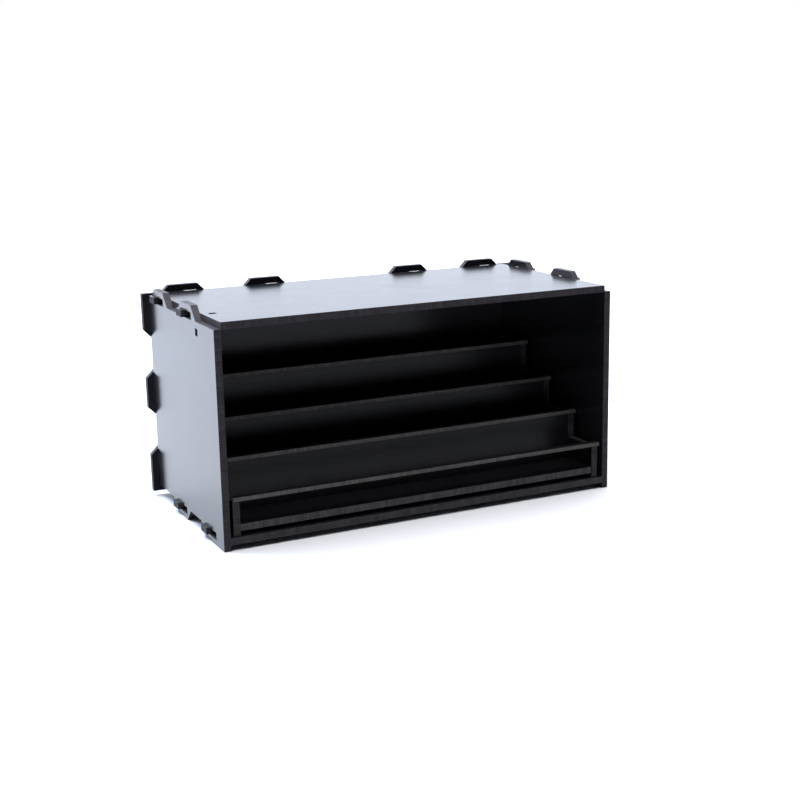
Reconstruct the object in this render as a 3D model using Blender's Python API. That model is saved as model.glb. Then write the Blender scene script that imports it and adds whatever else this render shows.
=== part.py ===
"""Stackable bench module with a slide-out stepped rack for paint pots.

The case is five flat sheets. Hooked tongues on the top and bottom sheets pass through slots in the
ears of the side and back sheets, and plain tenons on the side sheets fill slots in the back's ears.
The rack is a separate unit of end plates, ribs, shelves, risers and rails that slides out of the
open front.

Units are metres, +Z up, the open front faces -Y. The origin is on the floor, in the middle of the
module's width and overall depth.
"""

import math

import bmesh
import bpy
from mathutils import Vector

MM = 0.001
CUTTER_DEPTH = 3  # slot cutters are this many times as thick as the sheet they cut

# ---- case -------------------------------------------------------------------------------------
WIDTH = 372.0 * MM  # outer faces of the side sheets
HEIGHT = 188.4 * MM  # floor to the upper face of the top sheet
DEPTH = 186.8 * MM  # front to the outer face of the back sheet
SHEET = 6.0 * MM
BASE = 4.8 * MM  # floor to the underside of the bottom sheet
GAP = 0.3 * MM  # play between pieces that slide or drop into each other
SNUG = 0.05 * MM  # where two sheets press together, so that no light shows between them
LAP = 0.4 * MM  # side and back sheets reach this far past the corner line of the top and bottom
SLOT_TOP_PLAY = 0.15 * MM  # a slot is a little taller than the tongue in it

EAR = 27.4 * MM  # length of an ear's tip, and of the slot in it
EAR_RISE = 2 * SHEET
TONGUE_PROUD = 3.0 * MM  # how far a hooked head stands off the sheet it passes through
HOOK = 4.2 * MM  # how far a head reaches past its slot
HEAD = 14.2 * MM
WIDE_HEAD = 18.6 * MM  # heads in the back and right sheets

SIDE_EARS_TOP = (71.1 * MM, 150.4 * MM)  # centres from the front
SIDE_SLOTS_BOTTOM = (32.8 * MM, 111.6 * MM)  # half a pitch away from the ears on top
FOOT = 48.4 * MM  # length of the front foot on the floor
BACK_EARS_TOP = (-153.7 * MM, -74.7 * MM, 74.7 * MM, 153.7 * MM)
BACK_EARS_BOTTOM = (-114.2 * MM, -35.2 * MM, 35.2 * MM, 114.2 * MM)
BACK_EARS_SIDE = (25.8 * MM, 97.4 * MM, 169.0 * MM)  # centres above the floor

PEG_HOLE = 6.0 * MM  # square holes near the front left corner, in the top and the left sheet
PEG_FROM_FRONT = 44.6 * MM
PEG_FROM_CORNER = 14.4 * MM

# ---- rack -------------------------------------------------------------------------------------
RACK_PLAY = 3.7 * MM  # each side, between an end plate and the case
THIN = 3.5 * MM  # risers, rails and the rear fence
POST_SETBACK = 3.0 * MM  # end plates start this far behind the front rail
RAIL_DEPTH = POST_SETBACK + THIN
FIRST_SHELF = 3.7 * MM  # front edge of the first shelf
SHELF_TOPS = (20.5 * MM, 44.8 * MM, 69.2 * MM, 94.6 * MM)
RAIL_TOPS = (44.3 * MM, 67.1 * MM, 90.9 * MM, 119.1 * MM)
FIRST_RISER = 42.3 * MM  # front face of the riser behind the first row
STEP_DEPTH = 43.0 * MM
RIB_AT = 57.0 * MM
FENCE_DROP = 44.0 * MM

# ---- derived ----------------------------------------------------------------------------------
INNER_X = WIDTH / 2 - SHEET
ROOT_TOP = HEIGHT - SHEET
ROOT_BOTTOM = BASE + SHEET
ROOT_BACK = DEPTH - SHEET
UPPER_EDGE = ROOT_TOP + LAP  # of the side and back sheets, between their ears
LOWER_EDGE = ROOT_BOTTOM - LAP
FRONT_Y = -(DEPTH + TONGUE_PROUD) / 2
RACK_BOTTOM = ROOT_BOTTOM + GAP
PLATE_OUT = INNER_X - RACK_PLAY
PLATE_IN = PLATE_OUT - SHEET
RISERS = [FIRST_RISER + i * STEP_DEPTH for i in range(3)]
FENCE = FIRST_RISER + 3 * STEP_DEPTH
RACK_BACK = FENCE + THIN

FLAT = (0.0, 0.0, 0.0)  # outline X, Y to world X, Y
UPRIGHT = (math.pi / 2, 0.0, 0.0)  # outline X, Y to world X, Z
SIDEWAYS = (math.pi / 2, 0.0, math.pi / 2)  # outline X, Y to world Y, Z


def clear_scene():
    for obj in list(bpy.data.objects):
        bpy.data.objects.remove(obj, do_unlink=True)


def board_material(name, colour, roughness):
    material = bpy.data.materials.new(name)
    material.use_nodes = True
    shader = material.node_tree.nodes["Principled BSDF"]
    shader.inputs["Base Color"].default_value = (*colour, 1.0)
    shader.inputs["Roughness"].default_value = roughness
    shader.inputs["Metallic"].default_value = 0.0
    material.diffuse_color = (*colour, 1.0)
    return material


def prism(name, outlines, thickness):
    """Mesh of one or more flat outlines, each extruded half the thickness to both sides."""
    bm = bmesh.new()
    for outline in outlines:
        verts = [bm.verts.new((u, v, -thickness / 2)) for u, v in outline]
        face = bm.faces.new(verts)
        lifted = bmesh.ops.extrude_face_region(bm, geom=[face])["geom"]
        bmesh.ops.translate(
            bm,
            verts=[g for g in lifted if isinstance(g, bmesh.types.BMVert)],
            vec=Vector((0.0, 0.0, thickness)),
        )
    bmesh.ops.recalc_face_normals(bm, faces=bm.faces[:])
    mesh = bpy.data.meshes.new(name)
    bm.to_mesh(mesh)
    bm.free()
    return mesh


def link(name, mesh, location, rotation, parent):
    obj = bpy.data.objects.new(name, mesh)
    bpy.context.scene.collection.objects.link(obj)
    obj.parent = parent
    obj.location = location
    obj.rotation_euler = rotation
    return obj


def board(name, outline, thickness, location, rotation, parent, look, slots=()):
    """One cut sheet: an outline in its own plane, with the thickness centred on its location."""
    obj = link(name, prism(name, [outline], thickness), location, rotation, parent)
    obj.data.materials.append(board_material(name, *look))
    if slots:
        cutter_mesh = prism(name + "_cut", [rectangle(*s) for s in slots],
                            thickness * CUTTER_DEPTH)
        cutter = link(name + "_cutter", cutter_mesh, location, rotation, parent)
        cutter.hide_render = True
        cutter.display_type = "WIRE"
        cut = obj.modifiers.new("slots", "BOOLEAN")
        cut.operation = "DIFFERENCE"
        cut.solver = "EXACT"
        cut.object = cutter
    return obj


def rectangle(u0, u1, v0, v1):
    return [(u0, v0), (u1, v0), (u1, v1), (u0, v1)]


def span(centre, length):
    return (centre - length / 2, centre + length / 2)


def edge(start, end, features=()):
    """Points from start up to, not including, end. Features are (distance along, height out) points.

    Outlines run counter-clockwise, so out is to the right of the way the edge runs.
    """
    run = (Vector(end) - Vector(start)).normalized()
    out = Vector((run.y, -run.x))
    points = [tuple(start)]
    for feature in sorted(features, key=lambda f: f[0][0]):
        points += [tuple(Vector(start) + run * s + out * n) for s, n in feature]
    return points


def ear(centre, rise=EAR_RISE - LAP):
    """A 45-degree trapezoid on an edge."""
    half = EAR / 2
    return [
        (centre - half - rise, 0.0),
        (centre - half, rise),
        (centre + half, rise),
        (centre + half + rise, 0.0),
    ]


def tongue(low, high, hook):
    """A neck from low to high through the next sheet, with a head that reaches past it.

    hook is +1 where the head reaches on along the edge, and -1 where it reaches back.
    """
    inner = SHEET + SNUG + GAP
    outer = SHEET + SNUG + TONGUE_PROUD
    if hook > 0:
        return [
            (low, 0.0),
            (low, outer),
            (high + HOOK, outer),
            (high + HOOK, inner),
            (high, inner),
            (high, 0.0),
        ]
    return [
        (low, 0.0),
        (low, inner),
        (low - HOOK, inner),
        (low - HOOK, outer),
        (high, outer),
        (high, 0.0),
    ]


def deck(name, z, side_slots, back_slots, parent, look, slots=()):
    """The top or bottom sheet. Its tongues hook forward on the right and rearward on the left."""
    x = INNER_X - SNUG
    y = ROOT_BACK - SNUG
    right, left, back = [], [], []
    for centre in side_slots:
        low = centre - EAR / 2 + GAP
        high = centre - EAR / 2 - HOOK + WIDE_HEAD
        right.append(tongue(low, high, -1))
        high = centre + EAR / 2 - GAP
        low = centre + EAR / 2 + HOOK - HEAD
        left.append(tongue(y - high, y - low, -1))
    for centre in back_slots:
        low = centre - EAR / 2 + GAP
        high = centre - EAR / 2 - HOOK + WIDE_HEAD
        back.append(tongue(x - high, x - low, +1))
    outline = edge((-x, 0.0), (x, 0.0))
    outline += edge((x, 0.0), (x, y), right)
    outline += edge((x, y), (-x, y), back)
    outline += edge((-x, y), (-x, 0.0), left)
    return board(name, outline, SHEET, (0.0, 0.0, z), FLAT, parent, look, slots)


def tenon(low, high):
    """A plain tenon that ends flush with the far face of the sheet it fills."""
    reach = SHEET + SNUG
    return [(low, 0.0), (low, reach), (high, reach), (high, 0.0)]


def side(name, sign, parent, look, slots=()):
    """A side sheet: foot and ear below, ears on top, tenons behind."""
    y = ROOT_BACK - SNUG
    reach = EAR / 2 - GAP
    tenons = [tenon(c - reach - LOWER_EDGE, c + reach - LOWER_EDGE) for c in BACK_EARS_SIDE]
    start = FOOT + LOWER_EDGE
    outline = [(0.0, 0.0), (FOOT, 0.0)]
    outline += edge(
        (start, LOWER_EDGE),
        (y, LOWER_EDGE),
        [ear(SIDE_SLOTS_BOTTOM[1] - start, LOWER_EDGE)],
    )
    outline += edge((y, LOWER_EDGE), (y, UPPER_EDGE), tenons)
    outline += edge((y, UPPER_EDGE), (0.0, UPPER_EDGE), [ear(y - c) for c in SIDE_EARS_TOP])
    outline += [(0.0, UPPER_EDGE)]
    cuts = [slot(c, ROOT_TOP, HEIGHT + SLOT_TOP_PLAY) for c in SIDE_EARS_TOP]
    cuts += [slot(c, BASE, ROOT_BOTTOM + SNUG) for c in SIDE_SLOTS_BOTTOM]
    place = (sign * (INNER_X + SHEET / 2), 0.0, 0.0)
    return board(name, outline, SHEET, place, SIDEWAYS, parent, look, cuts + list(slots))


def slot(centre, low, high):
    return (centre - EAR / 2, centre + EAR / 2, low - SNUG, high)


def back_outline():
    """Ears on all four edges. The side ears end flush with the top and bottom sheets."""
    half = EAR / 2
    out = INNER_X + EAR_RISE
    root = INNER_X + LAP
    slope = half + EAR_RISE - LAP
    corner = INNER_X - (LOWER_EDGE - BASE)
    top_end = BACK_EARS_TOP[-1] + half + SHEET
    right = [(corner, LOWER_EDGE), (INNER_X, BASE), (out, BASE)]
    low, middle, high = BACK_EARS_SIDE
    right += [(out, low + half), (root, low + slope)]
    right += [(root, middle - slope), (out, middle - half)]
    right += [(out, middle + half), (root, middle + slope)]
    right += [(root, high - slope), (out, high - half)]
    right += [(out, HEIGHT), (top_end, HEIGHT), (top_end - SHEET, HEIGHT + SHEET)]
    left = [(-u, v) for u, v in reversed(right)]
    ears = [ear(c + corner, LOWER_EDGE) for c in BACK_EARS_BOTTOM]
    bottom = edge((-corner, LOWER_EDGE), (corner, LOWER_EDGE), ears)[1:]
    inner = []
    for centre in reversed(BACK_EARS_TOP):
        for s, rise in ear(-centre):
            inner.append((-s, UPPER_EDGE + rise))
    # The outer ears' tips and outer bevels are already in right and left.
    return bottom + right + inner[2:-2] + left


def back(name, parent, look):
    cuts = [slot(c, ROOT_TOP, HEIGHT + SLOT_TOP_PLAY) for c in BACK_EARS_TOP]
    cuts += [slot(c, BASE, ROOT_BOTTOM + SNUG) for c in BACK_EARS_BOTTOM]
    for c in BACK_EARS_SIDE:
        for sign in (-1, 1):
            ends = sorted((sign * (INNER_X - GAP), sign * (INNER_X + SHEET + GAP)))
            cuts.append((*ends, c - EAR / 2, c + EAR / 2))
    place = (0.0, ROOT_BACK + SHEET / 2, 0.0)
    return board(name, back_outline(), SHEET, place, UPRIGHT, parent, look, cuts)


def end_plate(name, sign, parent, look):
    """Stepped profile. Its front edge is the post under the front rail."""
    tops = [top - THIN - GAP for top in RAIL_TOPS]
    outline = [(POST_SETBACK, RACK_BOTTOM), (RACK_BACK, RACK_BOTTOM), (RACK_BACK, tops[3])]
    for riser, upper, lower in zip(reversed(RISERS), reversed(tops[1:]), reversed(tops[:-1])):
        outline += [(riser, upper), (riser, lower)]
    outline.append((POST_SETBACK, tops[0]))
    place = (sign * (PLATE_OUT - SHEET / 2), 0.0, 0.0)
    return board(name, outline, SHEET, place, SIDEWAYS, parent, look)


def rib(name, sign, parent, look):
    """Stepped rib under shelves 2 to 4, behind the first riser."""
    tops = [top - SHEET - GAP for top in SHELF_TOPS[1:]]
    steps = [riser + THIN + GAP for riser in RISERS]
    rear = FENCE - GAP
    outline = [(steps[0], RACK_BOTTOM), (rear, RACK_BOTTOM), (rear, tops[2])]
    outline += [(steps[2], tops[2]), (steps[2], tops[1])]
    outline += [(steps[1], tops[1]), (steps[1], tops[0]), (steps[0], tops[0])]
    return board(name, outline, SHEET, (sign * RIB_AT, 0.0, 0.0), SIDEWAYS, parent, look)


def build():
    clear_scene()
    black = ((0.012, 0.012, 0.014), 0.25)
    inner_black = ((0.010, 0.010, 0.012), 0.32)

    case = link("case_origin", None, (0.0, FRONT_Y, 0.0), FLAT, None)
    peg_x = span(-WIDTH / 2 + PEG_FROM_CORNER, PEG_HOLE)
    peg_y = span(PEG_FROM_FRONT, PEG_HOLE)
    peg_z = span(HEIGHT - PEG_FROM_CORNER, PEG_HOLE)
    deck("panel_top", HEIGHT - SHEET / 2, SIDE_EARS_TOP, BACK_EARS_TOP, case, black,
         [(*peg_x, *peg_y)])
    deck("panel_bottom", BASE + SHEET / 2, SIDE_SLOTS_BOTTOM, BACK_EARS_BOTTOM, case, black)
    side("panel_left", -1, case, black, [(*peg_y, *peg_z)])
    side("panel_right", 1, case, black)
    back("panel_back", case, black)

    # The rack slides straight out along -Y from this empty.
    rack = link("rack_origin", None, (0.0, FRONT_Y, 0.0), FLAT, None)
    end_plate("end_plate_left", -1, rack, inner_black)
    end_plate("end_plate_right", 1, rack, inner_black)
    rib("rib_left", -1, rack, inner_black)
    rib("rib_right", 1, rack, inner_black)

    inside = PLATE_IN - GAP
    rail_fronts = [0.0] + [riser - POST_SETBACK for riser in RISERS]
    for i, (front, top) in enumerate(zip(rail_fronts, RAIL_TOPS), 1):
        strip = rectangle(-PLATE_OUT, PLATE_OUT, front, front + RAIL_DEPTH)
        place = (0.0, 0.0, top - THIN / 2)
        board(f"rail_{i}", strip, THIN, place, FLAT, rack, inner_black)

    shelf_fronts = [FIRST_SHELF] + [riser + THIN + GAP for riser in RISERS]
    shelf_backs = [riser - GAP for riser in RISERS] + [FENCE - GAP]
    for i, (front, rear, top) in enumerate(zip(shelf_fronts, shelf_backs, SHELF_TOPS), 1):
        sheet = rectangle(-inside, inside, front, rear)
        place = (0.0, 0.0, top - SHEET / 2)
        board(f"shelf_{i}", sheet, SHEET, place, FLAT, rack, inner_black)

    for i, (riser, shelf, top) in enumerate(zip(RISERS, SHELF_TOPS, RAIL_TOPS[1:]), 2):
        sheet = rectangle(-inside, inside, shelf - SHEET, top - THIN - GAP)
        place = (0.0, riser + THIN / 2, 0.0)
        board(f"riser_{i}", sheet, THIN, place, UPRIGHT, rack, inner_black)

    fence_top = RAIL_TOPS[3] - THIN - GAP
    sheet = rectangle(-inside, inside, fence_top - FENCE_DROP, fence_top)
    place = (0.0, FENCE + THIN / 2, 0.0)
    board("rear_fence", sheet, THIN, place, UPRIGHT, rack, inner_black)


build()
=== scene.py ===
import math

import bpy
from mathutils import Matrix, Vector

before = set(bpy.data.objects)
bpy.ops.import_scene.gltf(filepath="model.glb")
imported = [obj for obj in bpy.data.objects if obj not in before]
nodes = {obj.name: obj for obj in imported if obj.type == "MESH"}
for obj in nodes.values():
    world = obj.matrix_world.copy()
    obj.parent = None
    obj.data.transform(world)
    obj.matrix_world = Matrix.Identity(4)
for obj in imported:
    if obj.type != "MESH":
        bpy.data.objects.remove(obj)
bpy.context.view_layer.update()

# ---------------------------------------------------------------- kinds of sheet
# The broad faces of each cut sheet look along this axis; every other face of it is a cut edge.
SHEET_AXIS = {
    "panel_left": "X", "panel_right": "X", "panel_top": "Z", "panel_bottom": "Z",
    "panel_back": "Y", "end_plate_left": "X", "end_plate_right": "X",
    "rib_left": "X", "rib_right": "X", "rear_fence": "Y",
}
CASE_NODES = {n for n in nodes if n.startswith("panel_")}
THIN_NODES = {n for n in nodes if n.startswith(("rail_", "riser_"))} | {"rear_fence"}
# Which edge colour set each sheet gets; every set but "case" is lightened with painted light.
EDGE_KINDS_WITH_PAINTED_LIGHT = {n: "case" if n in CASE_NODES else "rack" for n in nodes}
EDGE_KINDS_WITH_PAINTED_LIGHT["panel_bottom"] = "base"
for i in range(1, 5):
    SHEET_AXIS[f"rail_{i}"] = "Z"
    SHEET_AXIS[f"shelf_{i}"] = "Z"
    EDGE_KINDS_WITH_PAINTED_LIGHT[f"rail_{i}"] = "rail"
    EDGE_KINDS_WITH_PAINTED_LIGHT[f"shelf_{i}"] = "shelf"
for i in range(2, 5):
    SHEET_AXIS[f"riser_{i}"] = "Y"

# ---------------------------------------------------------------- looks
# Colours are linear. "shine" is the specular level: on a face, seen straight on and at a grazing
# angle; on an edge, where it faces sideways and where it faces up.
CASE_FACE = {"dark": (0.0095, 0.0095, 0.0118), "light": (0.0145, 0.0145, 0.0178),
             "rough": 0.21, "bump": 0.12, "dust": 0.25, "shine": (0.14, 0.95)}
RACK_FACE = {"dark": (0.0055, 0.0055, 0.0065), "light": (0.0092, 0.0092, 0.0108),
             "rough": 0.30, "bump": 0.15, "dust": 0.20, "shine": (0.14, 0.70)}
# Cut-edge colours: "case" is the plain cut edge; "base", "rack" and "shelf" are lighter copies of
# it, painted light for the bottom edge, the inner rack and the recessed shelf edges; "rail" is
# lighter still and warm, painted light and a painted warm reflection of paint pots.
EDGE_TONES_AND_PAINTED_LIGHT = {
    "case": {"dark": (0.0260, 0.0235, 0.0265), "light": (0.0620, 0.0555, 0.0630),
             "rough": 0.45, "shine": (0.03, 0.20)},
    "base": {"dark": (0.0350, 0.0335, 0.0350), "light": (0.0840, 0.0800, 0.0840),
             "rough": 0.45, "shine": (0.03, 0.20)},
    "rack": {"dark": (0.0280, 0.0262, 0.0275), "light": (0.0700, 0.0655, 0.0690),
             "rough": 0.50, "shine": (0.03, 0.15)},
    "shelf": {"dark": (0.0440, 0.0425, 0.0440), "light": (0.1100, 0.1060, 0.1100),
              "rough": 0.50, "shine": (0.03, 0.15)},
    "rail": {"dark": (0.0670, 0.0605, 0.0590), "light": (0.1440, 0.1310, 0.1260),
             "rough": 0.50, "shine": (0.03, 0.15)},
}
# Corner line: a dark tone, and a lighter rubbed tone that is wear and a painted edge highlight.
CORNER = {"dark": (0.020, 0.019, 0.020), "wear_highlight": (0.075, 0.070, 0.069)}
DUST_COLOUR = (0.20, 0.19, 0.185)
BOARD_IOR = 1.5

# Pattern scales, in repeats per metre.
FIBRE_SCALE = 900.0
CLOUD_SCALE = 14.0
SMUDGE_SCALE = 32.0
PEEL_SCALE = 260.0
HAIRLINE_SCALE = 900.0
PATCH_SCALE = 26.0
DUST_SCALE = 300.0
BURN_SCALE = 1500.0
BAND_SCALE = 190.0
TORN_SCALE = 1700.0
LAYER_SCALE = 900.0
RUB_SCALE = 70.0
GRIT_SCALE = 1400.0

# Stretch of a pattern along an axis: below 1 it is drawn out, at 1 it keeps its size.
FACE_DEPTH_STRETCH = 0.2
HAIRLINE_STRETCH = 0.05
BURN_STRETCH = 0.035
LAYER_STRETCH = 0.02

# Depths of the fine relief, in metres.
FACE_RELIEF = 0.00003
EDGE_RELIEF = 0.00012
CORNER_RELIEF = 0.00005

BOARD_VARIANTS = 3
SEED_SHIFT = (0.731, 0.417, 0.253)
HAIRLINE_ANGLE = 0.5

# Modifiers, in metres and degrees.
WELD_DISTANCE = 0.00001
FLAT_ANGLE = 1.0
CORNER_ANGLE = 30.0
CORNER_SEGMENTS = 3
THICK_CORNER = 0.00016
THIN_CORNER = 0.00013

AXIS_VECTOR = {"X": (1.0, 0.0, 0.0), "Y": (0.0, 1.0, 0.0), "Z": (0.0, 0.0, 1.0)}


# ---------------------------------------------------------------- shader helpers
class Tree:
    """Builds shader nodes with short calls; values may be numbers, tuples or sockets."""

    def __init__(self, tree):
        self.tree = tree
        self.tree.nodes.clear()

    def put(self, socket, value):
        if isinstance(value, bpy.types.NodeSocket):
            self.tree.links.new(value, socket)
        else:
            socket.default_value = value

    def node(self, kind, values=None, **settings):
        made = self.tree.nodes.new(kind)
        for key, value in settings.items():
            setattr(made, key, value)
        for key, value in (values or {}).items():
            self.put(made.inputs[key], value)
        return made

    def math(self, op, a, b=0.0, c=0.0, clamp=False):
        made = self.node("ShaderNodeMath", {0: a, 1: b, 2: c}, operation=op)
        made.use_clamp = clamp
        return made.outputs[0]

    def vmath(self, op, a, b):
        made = self.node("ShaderNodeVectorMath", {0: a, 1: b}, operation=op)
        return made.outputs["Value" if op == "DOT_PRODUCT" else "Vector"]

    def remap(self, value, low, high, to_low=0.0, to_high=1.0, smooth=True):
        made = self.node(
            "ShaderNodeMapRange",
            {"Value": value, "From Min": low, "From Max": high,
             "To Min": to_low, "To Max": to_high},
            interpolation_type="SMOOTHSTEP" if smooth else "LINEAR",
        )
        return made.outputs["Result"]

    def mix(self, factor, a, b, kind="RGBA"):
        """Mixes two colours (RGBA), numbers (FLOAT) or vectors (VECTOR)."""
        made = self.node("ShaderNodeMix", data_type=kind)
        self.put(made.inputs["Factor"], factor)
        socket_type = "VALUE" if kind == "FLOAT" else kind
        ends = [s for s in made.inputs if s.type == socket_type and s.name in ("A", "B")]
        for socket, value in zip(ends, (a, b)):
            if kind == "RGBA" and isinstance(value, tuple):
                value = (*value, 1.0)
            self.put(socket, value)
        return [s for s in made.outputs if s.type == socket_type][0]

    def noise(self, vector, scale, detail=2.0, rough=0.5, distortion=0.0):
        made = self.node(
            "ShaderNodeTexNoise",
            {"Vector": vector, "Scale": scale, "Detail": detail, "Roughness": rough,
             "Distortion": distortion},
        )
        return made.outputs["Fac"]

    def scaled(self, vector, x, y, z):
        return self.vmath("MULTIPLY", vector, (x, y, z))

    def bump(self, height, strength, distance):
        values = {"Height": height, "Strength": strength, "Distance": distance}
        return self.node("ShaderNodeBump", values).outputs["Normal"]

    def surface(self, **values):
        """A Principled shader with these inputs, wired to the output; _ stands for a space."""
        named = {key.replace("_", " "): value for key, value in values.items()}
        shader = self.node("ShaderNodeBsdfPrincipled", named)
        output = self.node("ShaderNodeOutputMaterial")
        self.tree.links.new(shader.outputs["BSDF"], output.inputs["Surface"])


def new_material(name):
    material = bpy.data.materials.new(name)
    material.use_nodes = True
    return material, Tree(material.node_tree)


def along_axis(axis, on_axis, off_axis):
    """Three scales: one along the sheet's thickness, another across it."""
    return [on_axis if a == axis else off_axis for a in "XYZ"]


# ---------------------------------------------------------------- board materials
def face_layer(t, place, axis, face, seed):
    """Broad face: faint fibre mottling, smudges left by handling, a few hairlines, dust."""
    flat = t.scaled(place, *along_axis(axis, FACE_DEPTH_STRETCH, 1.0))
    fibre = t.noise(flat, FIBRE_SCALE, 4.0, 0.6)
    cloud = t.noise(flat, CLOUD_SCALE, 4.0, 0.55)
    smudge = t.noise(flat, SMUDGE_SCALE, 5.0, 0.6, 0.6)
    peel = t.noise(flat, PEEL_SCALE, 2.0, 0.5)
    tone = t.math("MULTIPLY_ADD", fibre, 0.5, t.math("MULTIPLY", cloud, 0.5))
    colour = t.mix(t.remap(tone, 0.38, 0.64), face["dark"], face["light"])

    turned = t.node("ShaderNodeVectorRotate", {"Vector": flat, "Angle": HAIRLINE_ANGLE + seed},
                    rotation_type=axis + "_AXIS").outputs["Vector"]
    stretch = along_axis("Y" if axis == "X" else "X", HAIRLINE_STRETCH, 1.0)
    line = t.noise(t.scaled(turned, *stretch), HAIRLINE_SCALE, 1.0, 0.4, 0.3)
    patches = t.remap(t.noise(flat, PATCH_SCALE, 2.0), 0.60, 0.70)
    scratch = t.math("MULTIPLY", t.remap(line, 0.72, 0.76), patches)

    cells = t.node("ShaderNodeTexVoronoi", {"Vector": flat, "Scale": DUST_SCALE})
    chosen = t.remap(cells.outputs["Color"], 0.86, 0.90, smooth=False)
    speck = t.math("MULTIPLY", t.remap(cells.outputs["Distance"], 0.11, 0.05), chosen)
    dust = t.math("MULTIPLY", speck, t.remap(cloud, 0.42, 0.62), clamp=True)

    colour = t.mix(t.math("MULTIPLY", dust, face["dust"]), colour, DUST_COLOUR)
    rough = t.remap(smudge, 0.30, 0.72, face["rough"] - 0.007, face["rough"] + 0.012)
    rough = t.math("MULTIPLY_ADD", scratch, 0.08, rough)
    rough = t.math("MULTIPLY_ADD", dust, 0.3, rough)
    graze = t.node("ShaderNodeLayerWeight", {"Blend": 0.5}).outputs["Facing"]
    shine = t.remap(graze, 0.30, 0.78, *face["shine"])

    height = t.math("MULTIPLY_ADD", fibre, 0.35, t.math("MULTIPLY", peel, 0.5))
    height = t.math("MULTIPLY_ADD", scratch, -0.25, height)
    height = t.math("MULTIPLY_ADD", dust, 0.8, height)
    return colour, rough, shine, t.bump(height, face["bump"], FACE_RELIEF)


def edge_layer(t, place, normal, axis, edge):
    """Cut edge: burn lines and bands that run through the thickness, faint layers, torn fibres."""
    cut = t.scaled(place, *along_axis(axis, BURN_STRETCH, 1.0))
    lines = t.noise(cut, BURN_SCALE, 3.0, 0.65)
    bands = t.noise(cut, BAND_SCALE, 3.0, 0.6)
    torn = t.noise(place, TORN_SCALE, 4.0, 0.7)
    layers = t.noise(t.scaled(place, *along_axis(axis, 1.0, LAYER_STRETCH)), LAYER_SCALE, 2.0, 0.5)
    blend = t.math("MULTIPLY_ADD", lines, 0.45, t.math("MULTIPLY", bands, 0.25))
    blend = t.math("MULTIPLY_ADD", torn, 0.18, blend)
    blend = t.math("MULTIPLY_ADD", layers, 0.12, blend)
    colour = t.mix(t.remap(blend, 0.36, 0.64), edge["dark"], edge["light"])
    rough = t.remap(torn, 0.3, 0.7, edge["rough"] - 0.06, edge["rough"] + 0.08)
    upward = t.vmath("DOT_PRODUCT", normal, AXIS_VECTOR["Z"])
    shine = t.remap(upward, 0.30, 0.75, *edge["shine"])
    height = t.math("MULTIPLY_ADD", lines, 1.0, torn)
    return colour, rough, shine, t.bump(height, 0.55, EDGE_RELIEF)


def board(name, axis, face, edge, seed):
    """Black fibreboard: a satin face that shines at grazing angles, and a matt, striped edge."""
    material, t = new_material(name)
    coords = t.node("ShaderNodeTexCoord").outputs
    place = t.vmath("ADD", coords["Object"], tuple(seed * shift for shift in SEED_SHIFT))
    facing = t.math("ABSOLUTE", t.vmath("DOT_PRODUCT", coords["Normal"], AXIS_VECTOR[axis]))
    is_face = t.remap(facing, 0.80, 0.96)
    face_look = face_layer(t, place, axis, face, seed)
    edge_look = edge_layer(t, place, coords["Normal"], axis, edge)
    colour, rough, shine, normal = [
        t.mix(is_face, on_edge, on_face, kind)
        for on_edge, on_face, kind in zip(edge_look, face_look,
                                          ("RGBA", "FLOAT", "FLOAT", "VECTOR"))
    ]
    t.surface(Base_Color=colour, Roughness=rough, Normal=normal, IOR=BOARD_IOR,
              Specular_IOR_Level=shine)
    return material


def rubbed_highlight_corner(name, tone):
    """The rounded corner line between face and cut edge, rubbed slightly lighter in places: wear,
    and a painted highlight along the edges.
    """
    material, t = new_material(name)
    place = t.node("ShaderNodeTexCoord").outputs["Object"]
    rub = t.noise(place, RUB_SCALE, 5.0, 0.65)
    grit = t.noise(place, GRIT_SCALE, 3.0, 0.6)
    wear_highlight = t.math("MULTIPLY", t.remap(rub, 0.46, 0.66), t.remap(grit, 0.35, 0.6))
    # The rubbed patches lighten the corner: wear, and a painted highlight along the edges.
    t.surface(Base_Color=t.mix(wear_highlight, tone["dark"], tone["wear_highlight"]),
              Roughness=t.remap(grit, 0.3, 0.7, 0.36, 0.55), IOR=BOARD_IOR,
              Specular_IOR_Level=0.3, Normal=t.bump(grit, 0.3, CORNER_RELIEF))
    return material


# ---------------------------------------------------------------- sheets
corner = rubbed_highlight_corner("rubbed_highlight_corner", CORNER)
boards = {}


def board_for(name, seed):
    """The board look of this sheet; sheets of one kind and direction share a few variants."""
    axis = SHEET_AXIS[name]
    kind = EDGE_KINDS_WITH_PAINTED_LIGHT[name]
    variant = seed % BOARD_VARIANTS
    key = (kind, axis, variant)
    if key not in boards:
        face = CASE_FACE if name in CASE_NODES else RACK_FACE
        boards[key] = board(f"{kind}_board_{axis.lower()}{variant}", axis, face, EDGE_TONES_AND_PAINTED_LIGHT[kind],
                            variant + 1)
    return boards[key]


def finish_sheet(name, seed):
    """Gives one sheet its board, and rounds its corners into the corner material of wear and
    painted highlight.
    """
    obj = nodes[name]
    obj.data.materials.clear()
    obj.data.materials.append(board_for(name, seed))
    obj.data.materials.append(corner)

    weld = obj.modifiers.new("weld", "WELD")
    weld.merge_threshold = WELD_DISTANCE
    flat = obj.modifiers.new("flat", "DECIMATE")
    flat.decimate_type = "DISSOLVE"
    flat.angle_limit = math.radians(FLAT_ANGLE)
    bevel = obj.modifiers.new("corners", "BEVEL")
    bevel.width = THIN_CORNER if name in THIN_NODES else THICK_CORNER
    bevel.segments = CORNER_SEGMENTS
    bevel.limit_method = "ANGLE"
    bevel.angle_limit = math.radians(CORNER_ANGLE)
    bevel.material = 1
    bevel.use_clamp_overlap = False
    shade = obj.modifiers.new("shade", "WEIGHTED_NORMAL")
    shade.weight = 100
    shade.keep_sharp = False


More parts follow.
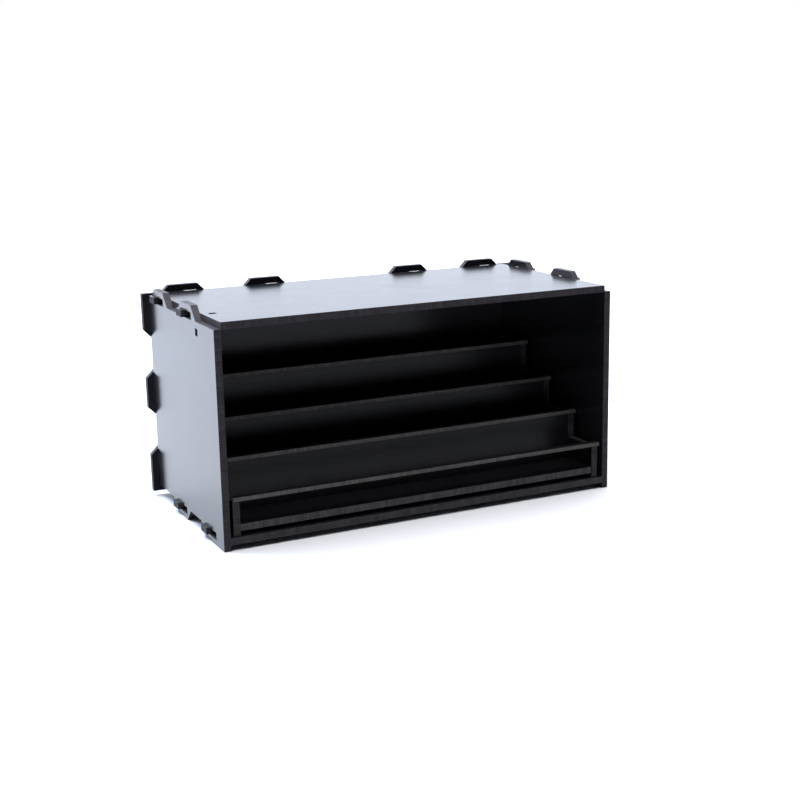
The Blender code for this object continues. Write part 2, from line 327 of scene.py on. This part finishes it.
for number, node_name in enumerate(sorted(nodes)):
    finish_sheet(node_name, number)

# ---------------------------------------------------------------- floor and studio
FLOOR_HALF = 9.0
FLOOR_DROP = 0.0002  # keeps the floor just clear of the feet
FLOOR_SEEN = (0.86, 0.865, 0.875)
FLOOR_BOUNCE = (0.45, 0.455, 0.46)

SWEEP_COLOUR = (0.90, 0.96, 1.10)
OVERHEAD_COLOUR = (0.97, 0.98, 1.02)
OVERHEAD_TOWARDS = (0.0, -0.06, 0.998)
OVERHEAD_STRENGTH = 6.0


def pale_floor():
    """The floor throws less light back onto the part than it shows to the camera."""
    mesh = bpy.data.meshes.new("studio_floor")
    corners = [(-1, -1), (1, -1), (1, 1), (-1, 1)]
    mesh.from_pydata([(x * FLOOR_HALF, y * FLOOR_HALF, 0.0) for x, y in corners], [],
                     [(0, 1, 2, 3)])
    floor = bpy.data.objects.new("studio_floor", mesh)
    bpy.context.scene.collection.objects.link(floor)
    floor.location.z = -FLOOR_DROP
    material, t = new_material("pale_floor")
    bounce = t.node("ShaderNodeLightPath").outputs["Is Diffuse Ray"]
    t.surface(Base_Color=t.mix(bounce, FLOOR_SEEN, FLOOR_BOUNCE), Roughness=0.75)
    mesh.materials.append(material)


def studio_world():
    """A dark front, a bright sweep behind, and a broad soft light nearly overhead.

    The camera sees plain white instead.
    """
    world = bpy.data.worlds.new("studio")
    bpy.context.scene.world = world
    world.use_nodes = True
    t = Tree(world.node_tree)
    direction = t.node("ShaderNodeTexCoord").outputs["Generated"]
    parts = t.node("ShaderNodeSeparateXYZ", {0: direction}).outputs
    sweep = t.remap(parts["Y"], -0.45, 0.64, 0.06, 1.70)
    height = t.vmath("DOT_PRODUCT", direction, OVERHEAD_TOWARDS)
    overhead = t.remap(height, 0.82, 0.95, 0.0, OVERHEAD_STRENGTH)
    sweep = t.math("MULTIPLY", sweep, t.remap(height, 0.95, 0.60))
    strength = t.math("ADD", overhead, sweep)
    tint = t.mix(t.math("DIVIDE", overhead, strength), SWEEP_COLOUR, OVERHEAD_COLOUR)
    light = t.node("ShaderNodeBackground", {"Color": tint, "Strength": strength})
    seen = t.node("ShaderNodeBackground", {"Color": (1.0, 1.0, 1.0, 1.0), "Strength": 1.0})
    either = t.node("ShaderNodeMixShader", {
        0: t.node("ShaderNodeLightPath").outputs["Is Camera Ray"],
        1: light.outputs[0], 2: seen.outputs[0],
    })
    output = t.node("ShaderNodeOutputWorld")
    t.tree.links.new(either.outputs[0], output.inputs["Surface"])


def softbox(name, place, target, size, watts, colour):
    """A rectangular area light at a place, aimed at a target."""
    lamp = bpy.data.lights.new(name, "AREA")
    lamp.shape = "RECTANGLE"
    lamp.size, lamp.size_y = size
    lamp.energy = watts
    lamp.color = colour
    obj = bpy.data.objects.new(name, lamp)
    bpy.context.scene.collection.objects.link(obj)
    obj.location = place
    aim = Vector(target) - Vector(place)
    obj.rotation_euler = aim.to_track_quat("-Z", "Y").to_euler()


pale_floor()
studio_world()
softbox("softbox_back_left", (-0.95, 0.85, 1.5), (-0.33, 0.22, 0.0), (1.1, 1.1), 25.5,
        (0.75, 0.905, 1.22))

# ---------------------------------------------------------------- camera
CAMERA_PLACE = (-0.5107, -1.0948, 0.3658)
CAMERA_YAW = 25.884  # degrees to the right of +Y
CAMERA_PITCH = 13.072  # degrees below level
CAMERA_ROLL = 1.091
CAMERA_LENS = 60.98
SENSOR_WIDTH = 36.0


def camera():
    """Looks down on the open front from the left."""
    yaw, pitch, roll = [math.radians(a) for a in (CAMERA_YAW, CAMERA_PITCH, CAMERA_ROLL)]
    forward = Vector((math.sin(yaw) * math.cos(pitch), math.cos(yaw) * math.cos(pitch),
                      -math.sin(pitch)))
    level = Vector((math.cos(yaw), -math.sin(yaw), 0.0))
    down = forward.cross(level)
    right = level * math.cos(roll) + down * math.sin(roll)
    lower = down * math.cos(roll) - level * math.sin(roll)
    data = bpy.data.cameras.new("camera")
    data.lens = CAMERA_LENS
    data.sensor_width = SENSOR_WIDTH
    data.clip_start = 0.05
    data.clip_end = 60.0
    cam = bpy.data.objects.new("camera", data)
    bpy.context.scene.collection.objects.link(cam)
    turn = Matrix((right, -lower, -forward)).transposed().to_4x4()
    cam.matrix_world = Matrix.Translation(CAMERA_PLACE) @ turn
    bpy.context.scene.camera = cam


camera()
view = bpy.context.scene.view_settings
view.view_transform = "Standard"
view.look = "None"
view.exposure = 0.0
view.gamma = 1.0
